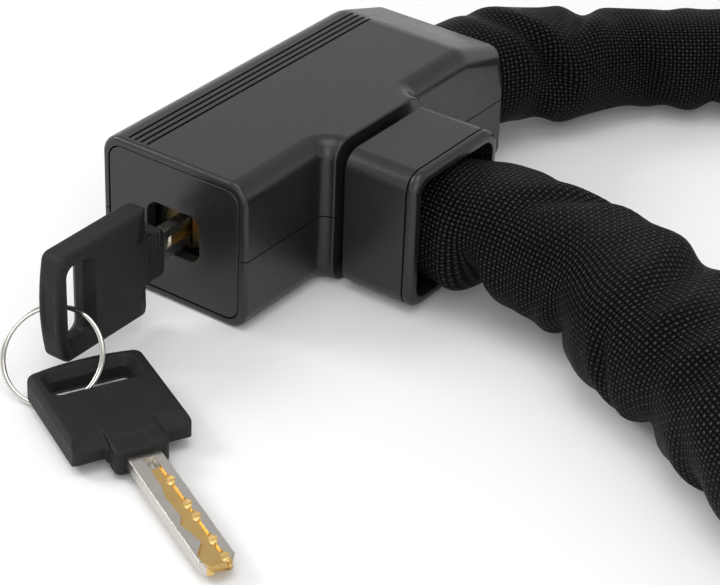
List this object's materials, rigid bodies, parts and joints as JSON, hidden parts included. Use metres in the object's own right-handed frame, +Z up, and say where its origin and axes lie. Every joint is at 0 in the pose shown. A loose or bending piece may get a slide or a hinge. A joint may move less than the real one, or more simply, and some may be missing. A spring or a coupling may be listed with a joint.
{
  "type": "chain lock",
  "caption": "Sleeved chain lock: a plastic-cased key cylinder with a plug-in collar that closes the chain's loop, and two keys on a split ring.",
  "frame": {"origin": "centre of the housing's flat bottom face, which rests on the bench", "axes": "+Z up out of the bottom face; the keyhole faces -Y; the collar plugs in from +X; the chain's fixed end leaves at +Y"},
  "size_m": [0.381, 0.3251, 0.038],
  "materials": {
    "housing_plastic": "black moulded plastic, satin, fine grain",
    "key_plastic": "black moulded plastic, dull, grainy",
    "nickel_blade": "nickel plate over brass, milled track shows brass",
    "brass": "machined brass",
    "ring_steel": "polished spring steel",
    "works_steel": "zinc-plated steel",
    "chain_steel": "hardened steel, zinc plated",
    "woven_sleeve": "coarse black nylon weave"
  },
  "bodies": {
    "housing": {"anchor_pin": "works_steel", "bolt_block": "works_steel", "chain_link_27": "chain_steel", "chain_link_28": "chain_steel", "cylinder_body": "works_steel", "front_plate": "housing_plastic", "housing_screw_1": "works_steel", "housing_screw_2": "works_steel", "housing_screw_3": "works_steel", "housing_screw_4": "works_steel", "lock_case": "works_steel", "lower_shell": "housing_plastic", "sleeve_rear": "woven_sleeve", "upper_shell": "housing_plastic"},
    "collar": {"collar_body": "housing_plastic", "collar_rim": "housing_plastic", "collar_tang": "works_steel", "tang_pin": "works_steel", "sleeve_main": "woven_sleeve", "chain_link_01": "chain_steel", "chain_link_02": "chain_steel", "chain_link_03": "chain_steel", "chain_link_04": "chain_steel", "chain_link_05": "chain_steel", "chain_link_06": "chain_steel", "chain_link_07": "chain_steel", "chain_link_08": "chain_steel", "chain_link_09": "chain_steel", "chain_link_10": "chain_steel", "chain_link_11": "chain_steel", "chain_link_12": "chain_steel", "chain_link_13": "chain_steel", "chain_link_14": "chain_steel", "chain_link_15": "chain_steel", "chain_link_16": "chain_steel", "chain_link_17": "chain_steel", "chain_link_18": "chain_steel", "chain_link_19": "chain_steel", "chain_link_20": "chain_steel", "chain_link_21": "chain_steel", "chain_link_22": "chain_steel", "chain_link_23": "chain_steel", "chain_link_24": "chain_steel", "chain_link_25": "chain_steel", "chain_link_26": "chain_steel"},
    "plug": {"cylinder_plug": "brass", "plug_clip": "works_steel", "tail_cam": "works_steel", "wafer_1": "brass", "wafer_2": "brass", "wafer_3": "brass", "wafer_4": "brass", "wafer_5": "brass"},
    "bolt": {"lock_bolt": "works_steel"},
    "key_1": {"key_1_bow": "key_plastic", "key_1_blade": "nickel_blade"},
    "ring": {"key_ring": "ring_steel"},
    "key_2": {"key_2_bow": "key_plastic", "key_2_blade": "nickel_blade"}
  },
  "joints": [
    {"name": "collar_pull", "type": "slide", "parent": "housing", "child": "collar", "axis": [1, 0, 0], "range_m": [0, 0.03]},
    {"name": "plug_turn", "type": "hinge", "parent": "housing", "child": "plug", "pos_m": [0, -0.0482, 0.0188], "axis": [0, 1, 0], "range_deg": [-90, 0]},
    {"name": "bolt_throw", "type": "slide", "parent": "housing", "child": "bolt", "axis": [0, 0, 1], "range_m": [0, 0.004], "stiffness_N_per_m": 4, "springref_m": 0.0211},
    {"name": "key_slide", "type": "slide", "parent": "plug", "child": "key_1", "axis": [0, 1, 0], "range_m": [-0.04, 0.006]},
    {"name": "ring_swing", "type": "hinge", "parent": "key_1", "child": "ring", "pos_m": [0, -0.0891, 0.0167], "axis": [1, 0, 0], "range_deg": [-70, 25]},
    {"name": "key_2_swing", "type": "hinge", "parent": "ring", "child": "key_2", "pos_m": [0.0134, -0.0969, 0.0047], "axis": [0, 0, 1], "range_deg": [0, 25]}
  ],
  "couplings": [
    {"joint": "bolt_throw", "follows": "plug_turn", "m_per_rad": -0.0025337}
  ]
}
